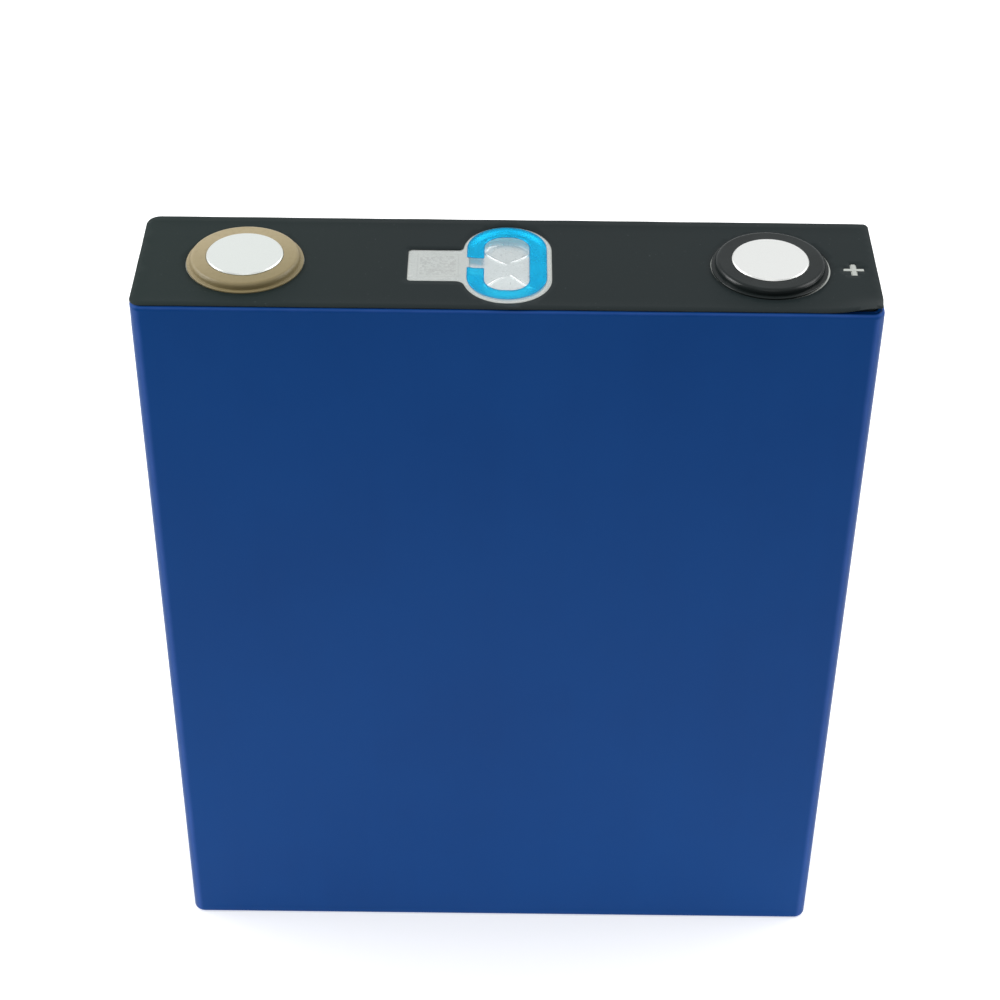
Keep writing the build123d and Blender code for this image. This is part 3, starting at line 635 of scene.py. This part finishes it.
def sheet(name, outer, holes, top, thick, material, grid=2.0, place=None, round_edge=0.05, bottom=None, clear=0.5, seeds=()):
    """A closed sheet with that outline and holes. top(u, v) is its upper face's height; place maps (u, v, height) to the row frame."""
    place = place or (lambda u, v, w: (u, v, w))
    loops = [outer if signed_area(outer) > 0 else outer[::-1]]
    loops += [h if signed_area(h) < 0 else h[::-1] for h in holes]
    border, spans, normals = [], [], []
    for lp in loops:
        spans.append((len(border), len(lp)))
        border += lp
        normals.append(loop_normals(lp))
    normals = np.concatenate(normals)
    bp = np.array(border)
    lo, hi = bp.min(0), bp.max(0)
    gu = np.arange(lo[0] + grid / 2, hi[0], grid)
    gv = np.arange(lo[1] + grid / 2, hi[1], grid * 0.866)
    pts = np.array([(u + (grid / 2 if j % 2 else 0), v) for j, v in enumerate(gv) for u in gu])
    if len(pts):
        pts = pts[inside_loops(pts, loops)]
    follow = np.array(seeds).reshape(-1, 2)         # points laid along steps and beads, so that they are cut cleanly
    if len(follow):
        follow = follow[inside_loops(follow, loops)]
        near_edge = np.linalg.norm(follow[:, None] - bp[None], axis=2).min(1) > 0.06
        follow = follow[near_edge]
    keep_off = np.concatenate([bp, follow]) if len(follow) else bp
    if len(pts):
        far = np.ones(len(pts), bool)
        for k in range(0, len(pts), 500):
            d = np.linalg.norm(pts[k:k + 500, None] - keep_off[None], axis=2).min(1)
            far[k:k + 500] = d > clear * grid
        pts = pts[far]
    if len(follow):
        pts = np.concatenate([follow, pts])
    allp = [Vector(p) for p in border] + [Vector(p) for p in pts]
    edges = [(s0 + i, s0 + (i + 1) % n) for s0, n in spans for i in range(n)]
    vs, _, tris, ov, _, _ = delaunay_2d_cdt(allp, edges, [], 0, 1e-6)
    vs = np.array([(v.x, v.y) for v in vs])
    back = {}
    for new, olds in enumerate(ov):
        for o in olds:
            back[o] = new
    cen = np.array([vs[list(t)].mean(0) for t in tris])
    ok = inside_loops(cen, loops)
    tris = [tuple(t) for t, k in zip(tris, ok) if k]
    fixed = []
    for t in tris:
        a, b, c3 = vs[t[0]], vs[t[1]], vs[t[2]]
        area2 = (b[0] - a[0]) * (c3[1] - a[1]) - (b[1] - a[1]) * (c3[0] - a[0])
        fixed.append(t if area2 > 0 else (t[0], t[2], t[1]))
    nv = len(vs)
    edge_of = {back[s0 + i]: s0 + i for s0, n in spans for i in range(n)}
    verts, heights = [], [top(u, v) for u, v in vs]
    for i, (u, v) in enumerate(vs):
        if i in edge_of:
            nx, ny = normals[edge_of[i]]
            u, v = u - nx * round_edge, v - ny * round_edge
        verts.append(place(u, v, heights[i]))
    low = [(bottom(u, v) if bottom else heights[i] - thick) for i, (u, v) in enumerate(vs)]
    for i, (u, v) in enumerate(vs):
        verts.append(place(u, v, low[i]))
    faces = [t for t in fixed] + [(nv + t[0], nv + t[2], nv + t[1]) for t in fixed]
    mid = {}
    for i in edge_of:
        mid[i] = len(verts)
        u, v = vs[i]
        verts.append(place(u, v, heights[i] - min(round_edge, 0.4 * (heights[i] - low[i]))))
    for s0, n in spans:
        for i in range(n):
            a, b = back[s0 + i], back[s0 + (i + 1) % n]
            if a == b:
                continue
            faces.append((a, mid[a], mid[b], b))
            faces.append((mid[a], nv + a, nv + b, mid[b]))
    used = sorted({i for f in faces for i in f})
    remap = {o: k for k, o in enumerate(used)}
    ob = new_mesh(name, [verts[i] for i in used], [tuple(remap[i] for i in f) for f in faces], sharp_deg=55)
    paint([ob], material)
    return ob


def obround_loop(hw, hl, step=0.3):
    """Long way along Y."""
    pts = arc_pts(0, hl - hw, hw, 0, math.pi, step) + arc_pts(0, -(hl - hw), hw, math.pi, 2 * math.pi, step)
    return dense(pts, 1.2)


def obround_depth(x, y, hw, hl):
    """How far (x, y) lies inside an obround's edge."""
    dy = max(0.0, abs(y) - (hl - hw))
    return hw - math.hypot(x, dy)


def keyhole(grow, corner, neck_top=1.3, neck_low=2.4):
    """The window: an obround with a tab on its -X side, grown by `grow`, with fillets tangent to both where the tab joins."""
    hw, hl = WIN_HW + grow, WIN_HL + grow
    x0, y0, y1 = TAB_X0 - grow, TAB_Y0 - grow, TAB_Y1 + grow
    dy = hl - hw
    rt, rl = neck_top - grow, neck_low - grow
    tx = -math.sqrt((hw + rt) ** 2 - (y1 + rt - dy) ** 2)          # fillet centres
    lx = -math.sqrt((hw + rl) ** 2 - (y0 - rl + dy) ** 2)
    at, al = math.atan2(y1 + rt - dy, tx), math.atan2(y0 - rl + dy, lx) % (2 * math.pi)
    pts = arc_pts(tx, y1 + rt, rt, at - math.pi, -math.pi / 2, 0.2)
    pts += arc_pts(x0 + corner, y1 - corner, corner, math.pi / 2, math.pi, 0.15)
    pts += arc_pts(x0 + corner, y0 + corner, corner, math.pi, 3 * math.pi / 2, 0.15)
    pts += arc_pts(lx, y0 - rl, rl, math.pi / 2, al - math.pi, 0.2)
    pts += arc_pts(0, -dy, hw, al, 2 * math.pi, 0.35)
    pts += arc_pts(0, dy, hw, 0, at, 0.35)
    return dense(pts, 1.0)


wrap = build_wrap()
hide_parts("outer_wrap")
paint([wrap], BLUE)

# ------------------------------------------------------------------ black top film
FILM_HX, FILM_HY = FILM_HI[0], FILM_HI[1]
edge_wave = waves(21, 8, 22)
film_wave = waves(22, 10, 26)


def film_outline():
    """The cut film: each corner has its own rounding."""
    radii = {(1, -1): 0.8, (1, 1): 1.2, (-1, 1): 3.2, (-1, -1): 3.0}
    pts = []
    for sx, sy, a0 in ((1, -1, -math.pi / 2), (1, 1, 0), (-1, 1, math.pi / 2), (-1, -1, math.pi)):
        r = radii[(sx, sy)]
        pts += arc_pts(sx * (FILM_HX - r), sy * (FILM_HY - r), r, a0, a0 + math.pi / 2, 0.25)
    loop = dense(pts, 1.2)
    nrm = loop_normals(loop)
    out = []
    for (x, y), (nx, ny) in zip(loop, nrm):
        w = 0.05 * edge_wave(x, y)
        if y < -15 and abs(x) < FILM_HX - 4:
            w += 0.3 * math.exp(-((x - 1.5) / 4.5) ** 2)      # stands out a little in front of the vent
        back = 0.8 * ramp(x, FILM_HX - 6, FILM_HX) * (1 - ramp(y + FILM_HY, 0.0, 7.0))       # the sprung corner has curled back
        out.append((x + nx * w - back, y + ny * w))
    return out


def film_height(x, y):
    side, end = FILM_HX - abs(x), FILM_HY - abs(y)
    inset = min(side, end)
    z = LID_Z + 0.22 + (FILM_TOP - LID_Z - 0.22) * (1 - ramp(inset, 0.9, 2.9))
    z += 0.015 * film_wave(x, y) * ramp(inset, 0, 4)
    # a little proud along the cut front and rear edges, drawn down over the ends
    z += (0.07 + 0.05 * edge_wave(x + 90, y)) * (1 - ramp(end, 0.0, 1.3)) * ramp(side, 1.0, 3.5)
    z -= 0.16 * (1 - ramp(side, 0.0, 0.9))
    # the front corner at the positive end has sprung up
    d = math.hypot((FILM_HX - x) / 15.0, (y + FILM_HY) / 8.0)
    z += 1.5 * (1 - smooth(min(1.0, d))) ** 1.4
    z += 0.16 * math.exp(-((x - 1.5) / 5.0) ** 2) * ramp(-y, 15.5, 19)
    return z


def plus_loop(cx, cy, length, arm_x, arm_y, r=0.18):
    h = length / 2
    ax, ay = arm_x / 2, arm_y / 2          # half width of the upright, half height of the cross arm
    corners = [(h, -ay), (h, ay), (ax, ay), (ax, h), (-ax, h), (-ax, ay), (-h, ay), (-h, -ay), (-ax, -ay), (-ax, -h), (ax, -h), (ax, -ay)]
    out = []
    n = len(corners)
    for i in range(n):
        p, c0, q = np.array(corners[i - 1]), np.array(corners[i]), np.array(corners[(i + 1) % n])
        a = c0 + (p - c0) / np.linalg.norm(p - c0) * r
        b = c0 + (q - c0) / np.linalg.norm(q - c0) * r
        for k in range(4):
            t2 = k / 3
            out.append(tuple((1 - t2) ** 2 * a + 2 * t2 * (1 - t2) * c0 + t2 ** 2 * b + np.array([cx, cy])))
    return dense(out, 0.6)


PLUS = (81.1, -0.75)


def circle(cx, cy, r, n=140):
    return [(cx + r * math.cos(2 * math.pi * i / n), cy + r * math.sin(2 * math.pi * i / n)) for i in range(n)]


INS_R = POS_HI[0] - POS_X
holes = [
    circle(POS_X + 0.12, -0.02, INS_R + 0.27),
    circle(NEG_X - 0.03, 0.0, INS_R + 0.12),
    keyhole(0.0, 0.9),
    plus_loop(PLUS[0], PLUS[1], 4.9, 1.5, 1.3),
]
top_film = sheet("top_film_cut", film_outline(), holes, film_height, 0.2, BLACK, grid=1.8, round_edge=0.04)
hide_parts("top_film")

# ------------------------------------------------------------------ laps and folds of the wrap on the narrow sides
lap_wave = waves(31, 9, 45)
flap_wave = waves(32, 8, 12)


def side_place(sign):
    def place(u, v, w):
        """u across the side (Y), v up its surface, w off the wall; v runs on round the rim and the base edge."""
        top, low = RIM_Z - RIM_R, BASE_R
        if v > top:
            a = (v - top) / RIM_R
            inset, z, nx, nz = RIM_R * (1 - math.cos(a)), top + RIM_R * math.sin(a), math.cos(a), math.sin(a)
            w = (w + 0.03) * (1 - ramp(a, 0.0, 0.75)) - 0.03 if w > 0 else w
        elif v < low:
            a = (low - v) / BASE_R
            inset, z, nx, nz = BASE_R * (1 - math.cos(a)), low - BASE_R * math.sin(a), math.cos(a), -math.sin(a)
        else:
            inset, z, nx, nz = 0.0, v, 1.0, 0.0
        return (sign * (HX - inset + w * nx), u, max(0.0, z + w * nz))
    return place


def lap_height(u, v):
    """Top of the front sheet's overlap: it rises out of the corner at the front and lies one sheet proud at its free edge."""
    w = 0.25 * ramp(u, -17.2, -13.2) - 0.05
    lift = 0.10 * max(0.0, lap_wave(v, 5)) * ramp(u, 2.0, 6.2) * ramp(v, 15, 40) * (1 - ramp(v, 175, 200))
    return w + lift


for sign, label in ((1, "positive_side"), (-1, "negative_side")):
    end_u = [(6.0 + 0.25 * lap_wave(v + 500 * sign, 40), v) for v in np.linspace(-0.35, RIM_Z - RIM_R + 0.95, 120)]
    front = [(-17.2, v) for v in np.linspace(RIM_Z - RIM_R + 0.95, -0.35, 60)]
    outline = dense(end_u + front, 1.6)
    o = sheet(f"wrap_lap_{label}", outline, [], lap_height, 0.2, BLUE, grid=2.2, place=side_place(sign),
              round_edge=0.04, bottom=lambda u, v: -0.1)
    if sign < 0:
        o.data.flip_normals()

    def flap_height(u, v):
        under = 0.2 * (1 - ramp(u, 5.8, 6.8)) * ramp(u, -17.0, -13.2)
        rise = under + 0.2 * ramp(v, -0.4, 1.6)
        tip = 0.16 * ramp(v, 8, 13.5) * max(0.0, 0.4 + 0.6 * flap_wave(u, v))
        side_lift = 0.05 * max(0.0, flap_wave(u + 40, v))
        return rise + tip + side_lift * ramp(v, 1, 4)
    tri = [(-16.4, -0.35), (16.4, -0.35), (16.2, 1.0)]
    tri += [(16.2 - 11.4 * t, 1.0 + 12.0 * t + 0.12 * flap_wave(30 * t, 9 * sign)) for t in np.linspace(0.05, 0.97, 14)]
    tri += arc_pts(4.2, 12.6, 0.7, math.pi * 0.25, math.pi * 0.5, 0.2)
    tri += arc_pts(-4.2, 12.6, 0.7, math.pi * 0.5, math.pi * 0.75, 0.2)
    tri += [(-16.2 + 11.4 * t, 1.0 + 12.0 * t + 0.12 * flap_wave(50 * t, 9 * sign)) for t in np.linspace(0.97, 0.05, 14)]
    tri += [(-16.2, 1.0)]
    o = sheet(f"wrap_base_flap_{label}", dense(tri, 0.8), [], flap_height, 0.2, BLUE, grid=1.0,
              place=side_place(sign), round_edge=0.04, bottom=lambda u, v: -0.05)
    if sign < 0:
        o.data.flip_normals()

# ------------------------------------------------------------------ clear vent cover and its blue ring
cover_wave = waves(41, 9, 7)


def cover_height(x, y):
    """Taut on the lid, drawn slightly into the vent recess where it spans it."""
    d = obround_depth(x, y, VENT_HI[0], VENT_HI[1])
    dip = 0.26 * ramp(d, -0.4, 1.5) + 0.04 * ramp(d, 2.0, 5.0)
    wave = 0.02 * cover_wave(x, y) * ramp(d, -1.0, 2.0)
    tab = 0.012 * cover_wave(x, y) if x < -WIN_HW else 0.0
    return LID_Z + 0.15 - dip + wave + tab


def c_ring():
    """The blue ring's outline with its gap on the -X side."""
    hw, hl, iw, il, g, r = RING_HI[0] - 0.2, RING_HI[1] - 0.25, 5.3, 11.4, 2.15, 0.35
    outer = arc_pts(0, -(hl - hw), hw, math.pi, 2 * math.pi, 0.3) + arc_pts(0, hl - hw, hw, 0, math.pi, 0.3)
    # inner opening: a rounded oval, squarer than the outer one
    rr = 4.6
    inner = arc_pts(iw - rr, il - rr, rr, math.pi / 2, 0, 0.25) + arc_pts(iw - rr, -(il - rr), rr, 0, -math.pi / 2, 0.25)
    inner = arc_pts(-(iw - rr), il - rr, rr, math.pi, math.pi / 2, 0.25) + inner + arc_pts(-(iw - rr), -(il - rr), rr, -math.pi / 2, -math.pi, 0.25)
    loop = []
    loop += arc_pts(-hw + r, -g - r, r, math.pi / 2, math.pi, 0.1)
    loop += outer
    loop += arc_pts(-hw + r, g + r, r, math.pi, 3 * math.pi / 2, 0.1)
    loop += arc_pts(-iw - r, g + r, r, -math.pi / 2, 0, 0.1)
    loop += inner
    loop += arc_pts(-iw - r, -g - r, r, 0, math.pi / 2, 0.1)
    return [(x - 0.15, y + 0.85) for x, y in dense(loop, 0.8)]


RING_LOOP = c_ring()
cover = sheet("vent_cover_clear_sheet", keyhole(-0.32, 0.7), [RING_LOOP], cover_height, 0.12, CLEAR, grid=0.7, round_edge=0.02)
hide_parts("vent_cover_film")
ring = sheet("vent_cover_blue_c_ring", RING_LOOP, [], lambda x, y: cover_height(x, y) + 0.02, 0.14, RING, grid=0.6, round_edge=0.03)
printed = ring.data.attributes.new("print_edge", "FLOAT", "POINT")
rim_pts = np.array(RING_LOOP)
for v in ring.data.vertices:
    gap = np.linalg.norm(rim_pts - (v.co.x / MM, v.co.y / MM), axis=1).min()
    printed.data[v.index].value = max(0.0, 1.0 - float(gap) / 0.45)
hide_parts("vent_cover_blue_ring")

# ------------------------------------------------------------------ burst membrane with its folds and score lines
SCORES = [((-5.2, 6.9), (-0.6, 2.4)), ((5.0, 6.6), (1.1, 3.4)), ((-4.7, -6.7), (-1.2, -3.3)), ((0.8, -2.3), (6.7, -8.3)),
          ((0.0, -1.4), (0.0, 1.9))]


def seg_dist(x, y, a, b):
    ax, ay = a
    bx, by = b
    dx, dy = bx - ax, by - ay
    t = min(1.0, max(0.0, ((x - ax) * dx + (y - ay) * dy) / (dx * dx + dy * dy)))
    return math.hypot(x - ax - t * dx, y - ay - t * dy)


def bow(a, b, amount, n=6):
    """A score line as short runs, bowed sideways."""
    (ax, ay), (bx, by) = a, b
    px, py = -(by - ay), bx - ax
    k = math.hypot(px, py)
    pts = [(ax + (bx - ax) * t + px / k * amount * 4 * t * (1 - t), ay + (by - ay) * t + py / k * amount * 4 * t * (1 - t))
           for t in [i / n for i in range(n + 1)]]
    return list(zip(pts, pts[1:]))


SCORE_RUNS = [bow(*SCORES[0], -0.25), bow(*SCORES[1], 0.25), bow(*SCORES[2], 0.25), bow(*SCORES[3], -0.3)]


def score_line(x, y):
    """1 on a raised score line, fading out across it and at its ends."""
    return max(math.exp(-(min(seg_dist(x, y, a, b) for a, b in run) / 0.23) ** 2) for run in SCORE_RUNS)


def membrane_height(x, y):
    """Weld bead round the rim, a drawn step inside it, a second shallow step, and petals that meet along the score lines."""
    d = obround_depth(x, y, VENT_HI[0], VENT_HI[1])
    z = VENT_HI[2] + 0.05 * math.exp(-((d - 0.45) / 0.3) ** 2)
    z -= 0.17 * ramp(d, 0.7, 2.3)
    z -= 0.09 * ramp(d, 2.45, 3.15)
    ay = max(0.0, abs(y - 0.3) - 1.7)
    far = max(abs(x), ay)
    fall = 0.03 * min(far, 6.0) * (1.0 if ay > abs(x) else 0.5)
    blend = min(1.0, abs(abs(x) - ay) / 0.8)
    z -= (fall + 0.03 * (1 - blend)) * ramp(far, 0.5, 2.5) * ramp(d, 2.6, 4.0)
    return z + 0.19 * score_line(x, y)


follow = []
for depth in (0.15, 0.3, 0.45, 0.6, 0.8, 1.0, 1.2, 1.4, 1.6, 1.8, 2.0, 2.2, 2.35, 2.5, 2.65, 2.8, 2.95, 3.1, 3.3):
    follow += obround_loop(VENT_HI[0] - depth, VENT_HI[1] - depth, 0.2)
membrane = sheet("vent_membrane_pressed", obround_loop(VENT_HI[0], VENT_HI[1], 0.3), [], membrane_height, 0.2, VENT,
                 grid=0.2, round_edge=0.02, seeds=follow,
                 bottom=lambda x, y: VENT_LO[2] - 0.25 * ramp(obround_depth(x, y, 8.0, 14.0), 0.0, 0.6))
score_glint_mask = membrane.data.attributes.new("score_glint", "FLOAT", "POINT")
for v in membrane.data.vertices:
    score_glint_mask.data[v.index].value = score_line(v.co.x / MM, v.co.y / MM)
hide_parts("vent_membrane")

# ------------------------------------------------------------------ floor, lights, camera
floor_mat = Tree("studio_floor")
fl = floor_mat.noise(0.004, 2.0, 0.5)
fx, fy, fz = floor_mat.xyz()
near = floor_mat.remap(fy, -0.42, -0.1, 0.0, 1.0, kind="SMOOTHSTEP")        # painted pool of light: white and glowing near the cell, grey and dim further ahead
white = floor_mat.mix(floor_mat.remap(fl, 0.3, 0.7, 0, 1), (0.86, 0.86, 0.86), (0.88, 0.88, 0.88))
# the floor glows through its emission as well as reflecting the lamps: painted light that keeps it white
floor_mat.shade(floor_mat.mix(near, (0.3, 0.3, 0.31), white), 0.7, Emission_Strength=0.5)
floor_mat.link(floor_mat.mix(near, (0.12, 0.12, 0.125), (1.0, 1.0, 1.0)), floor_mat.p.inputs["Emission Color"])
fm = bpy.data.meshes.new("floor")
S = 6.0
fm.from_pydata([(-S, -S, 0), (S, -S, 0), (S, S, 0), (-S, S, 0)], [], [(0, 1, 2, 3)])
floor = bpy.data.objects.new("floor", fm)
scene.collection.objects.link(floor)
floor.data.materials.append(floor_mat.mat)


def area(name, loc, target, size, power, size_y=None, color=(1, 1, 1)):
    d = bpy.data.lights.new(name, "AREA")
    d.shape = "RECTANGLE"
    d.size, d.size_y = size, size_y or size
    d.energy = power
    d.color = color
    ob = bpy.data.objects.new(name, d)
    scene.collection.objects.link(ob)
    ob.location = loc
    ob.rotation_euler = (Vector(target) - Vector(loc)).to_track_quat("-Z", "Y").to_euler()
    return ob


TOP = (0, 0, 0.2)
area("soft_left", (-0.85, 0.35, 1.0), TOP, 0.7, 4.5)
area("soft_right", (0.85, 0.35, 1.0), TOP, 0.7, 4.5)
vent_parts = bpy.data.collections.new("vent_receivers")
for ob in (membrane, cover, ring):
    vent_parts.objects.link(ob)
for lamp in (area("spark_left", (-0.22, 0.83, 1.08), TOP, 0.34, 0.7, 0.26), area("spark_right", (0.22, 0.83, 1.08), TOP, 0.34, 0.7, 0.26)):
    lamp.light_linking.receiver_collection = vent_parts
for label, place, node, power in (("kicker_black_left", (-0.80, 0.02, 0.80), "positive_outer_insulator", 7.0),
                                  ("kicker_black_right", (0.80, 0.02, 0.80), "positive_outer_insulator", 2.5),
                                  ("kicker_tan", (-0.80, 0.02, 0.80), "negative_outer_insulator", 2.4)):
    one_ring = bpy.data.collections.new(label + "_receiver")
    one_ring.objects.link(nodes[node])
    area(label, place, TOP, 0.5, power).light_linking.receiver_collection = one_ring
area("front_high", (0.0, -0.9, 1.5), (0, -0.2, 0.0), 0.8, 1.6)
area("side_left", (-1.0, -0.12, 0.3), (0, 0, 0.1), 0.5, 2.6)
area("side_right", (1.0, -0.12, 0.3), (0, 0, 0.1), 0.5, 1.8)
area("front_low", (0.0, -0.55, 0.06), (0, 0, 0.03), 0.5, 0.25, size_y=0.08)
world = bpy.data.worlds.new("studio")
scene.world = world
world.use_nodes = True
wt = world.node_tree
bg = wt.nodes.get("Background") or wt.nodes.new("ShaderNodeBackground")
out = next((n for n in wt.nodes if n.type == "OUTPUT_WORLD"), None) or wt.nodes.new("ShaderNodeOutputWorld")
wt.links.new(bg.outputs[0], out.inputs[0])
# a pale room: bright above and behind, dimmer towards the front
direction = wt.nodes.new("ShaderNodeTexCoord").outputs["Generated"]
toward = wt.nodes.new("ShaderNodeVectorMath")
toward.operation = "DOT_PRODUCT"
wt.links.new(direction, toward.inputs[0])
toward.inputs[1].default_value = (0.0, 0.75, 0.66)
fall = wt.nodes.new("ShaderNodeMapRange")
fall.interpolation_type = "SMOOTHSTEP"
for i, v in ((1, -0.5), (2, 0.8), (3, 0.22), (4, 1.0)):
    fall.inputs[i].default_value = v
wt.links.new(toward.outputs["Value"], fall.inputs[0])
tone = wt.nodes.new("ShaderNodeMix")
tone.data_type = "RGBA"
tone.inputs[6].default_value = (0.0, 0.0, 0.0, 1)
tone.inputs[7].default_value = (0.98, 0.99, 1.0, 1)
wt.links.new(fall.outputs[0], tone.inputs[0])
wt.links.new(tone.outputs[2], bg.inputs[0])
bg.inputs[1].default_value = 0.86
scene.view_settings.view_transform = "Standard"
scene.view_settings.look = "None"

TILT, ROLL, YAW = 0.6865276373432998, -0.011561382178793444, 0.0003812988461964499
CAM = Vector((-1.1907578083567107, -460.5036128463269, 498.5551466744079)) * MM
FOCAL, SHIFT_V = 2313.5405646739987, 40.0
rz = np.array([[math.cos(YAW), -math.sin(YAW), 0], [math.sin(YAW), math.cos(YAW), 0], [0, 0, 1]])
c, s = math.cos(TILT), math.sin(TILT)
tilt = np.array([[1, 0, 0], [0, c, -s], [0, s, c]])
c, s = math.cos(ROLL), math.sin(ROLL)
roll = np.array([[c, 0, -s], [0, 1, 0], [s, 0, c]])
right, forward, up = roll @ tilt @ rz
cam_data = bpy.data.cameras.new("camera")
cam = bpy.data.objects.new("camera", cam_data)
scene.collection.objects.link(cam)
cam.matrix_world = Matrix([
    (right[0], up[0], -forward[0], CAM.x),
    (right[1], up[1], -forward[1], CAM.y),
    (right[2], up[2], -forward[2], CAM.z),
    (0, 0, 0, 1)])
cam_data.sensor_width = 36.0
cam_data.lens = FOCAL * 36.0 / 1000
cam_data.shift_y = SHIFT_V / 1000
cam_data.clip_start, cam_data.clip_end = 0.01, 50
scene.camera = cam
